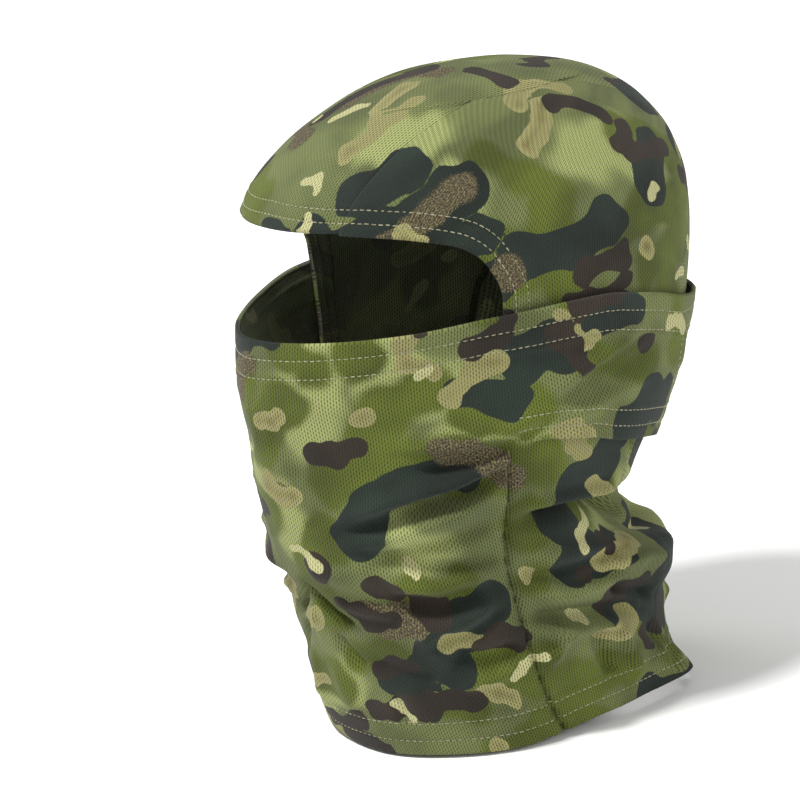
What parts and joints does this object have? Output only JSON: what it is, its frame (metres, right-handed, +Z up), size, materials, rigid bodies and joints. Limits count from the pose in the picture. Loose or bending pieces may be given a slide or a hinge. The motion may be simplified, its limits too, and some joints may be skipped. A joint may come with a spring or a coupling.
{
  "type": "camouflage face mask",
  "caption": "Mesh knit balaclava in camouflage: a panelled hood, a face panel to below the eyes and a band round the head that slides down to bare the face.",
  "frame": {"origin": "under the middle of the bounding box, in the plane of the neck hem, where x and y are those of the box's centre", "axes": "+Z up, square to the neck hem; -Y the way the face looks; +X the wearer's left"},
  "size_m": [0.1778, 0.2204, 0.2815],
  "materials": {
    "cloth_green": "matt printed birdseye mesh knit",
    "hem_cloth": "matt printed birdseye mesh knit, turned double",
    "stitching": "twisted polyester thread",
    "overlock_thread": "overlocked cut edges",
    "label": "smooth woven tape"
  },
  "bodies": {
    "hood": {"hood_panel_left": "cloth_green", "hood_panel_right": "cloth_green", "hood_panel_centre": "cloth_green", "hood_opening_hem": "hem_cloth", "hood_opening_stitch_outer": "stitching", "hood_opening_stitch_inner": "stitching", "hood_seam_left": "overlock_thread", "hood_seam_right": "overlock_thread", "side_seam_left": "overlock_thread", "side_seam_right": "overlock_thread", "neck_hem_front": "hem_cloth", "neck_hem_rear": "hem_cloth", "neck_stitch_outer": "stitching", "neck_stitch_inner": "stitching", "size_label": "label", "face_panel": "cloth_green"},
    "band": {"top_hem": "hem_cloth", "top_stitch_outer": "stitching", "top_stitch_inner": "stitching", "band_wing_left": "cloth_green", "band_wing_right": "cloth_green", "band_panel_rear": "cloth_green", "band_lower_hem": "hem_cloth", "band_stitch_outer": "stitching", "band_stitch_inner": "stitching", "band_seam_left": "overlock_thread", "band_seam_right": "overlock_thread"}
  },
  "joints": [
    {"name": "face_cover_pull", "type": "slide", "parent": "hood", "child": "band", "axis": [0, 0.1, -0.995], "range_m": [0, 0.03], "deforming": ["face_panel"]}
  ]
}
